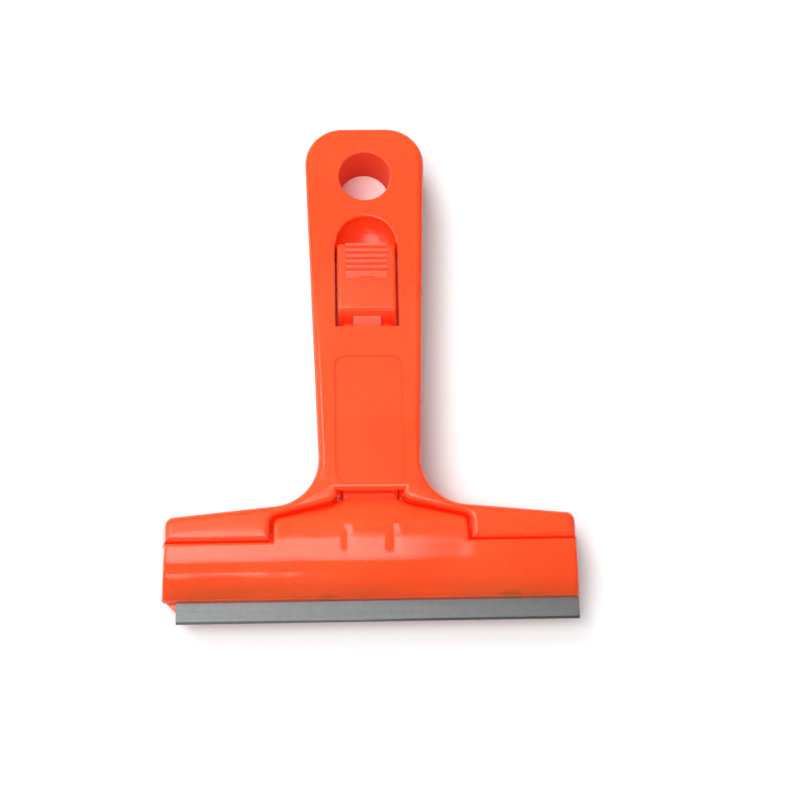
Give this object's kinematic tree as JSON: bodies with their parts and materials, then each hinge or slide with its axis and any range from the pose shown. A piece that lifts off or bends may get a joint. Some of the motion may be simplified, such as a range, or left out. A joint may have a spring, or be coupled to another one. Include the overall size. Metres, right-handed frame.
{
  "type": "cleaning scraper",
  "caption": "T-shaped hand scraper: a sprung clamp lever in an open-backed handle holds a wide replaceable steel blade.",
  "frame": {"origin": "centre of the bottom of the tool's own box as it lies on its back: Z = 0 is the plane of the handle's rear rims", "axes": "+X across the blade, +Y along the handle from the blade to the hanging hole, +Z out of the handle's front face"},
  "size_m": [0.1036, 0.1302, 0.0156],
  "materials": {
    "handle_plastic": "glossy moulded orange plastic with soft edges",
    "lever_plastic": "glossy moulded orange plastic with fine scratches and grease marks by the lip",
    "pin_steel": "plain drawn steel",
    "spring_steel": "drawn spring wire",
    "blade_steel": "rolled strip, dull grey, with a ground edge"
  },
  "bodies": {
    "handle": {"handle": "handle_plastic", "hinge_pin": "pin_steel", "torsion_spring": "spring_steel"},
    "lever": {"clamp_lever": "lever_plastic"},
    "blade": {"scraper_blade": "blade_steel"}
  },
  "joints": [
    {"name": "lever_hinge", "type": "hinge", "parent": "handle", "child": "lever", "pos_m": [0, -0.02212, 0.0065], "axis": [-1, 0, 0], "range_deg": [0, 2], "stiffness_Nm_per_rad": 1, "springref_deg": -20.05, "deforming": ["torsion_spring"]},
    {"name": "blade_slide", "type": "slide", "parent": "handle", "child": "blade", "axis": [0, -1, 0], "range_m": [0, 0.0127]}
  ]
}
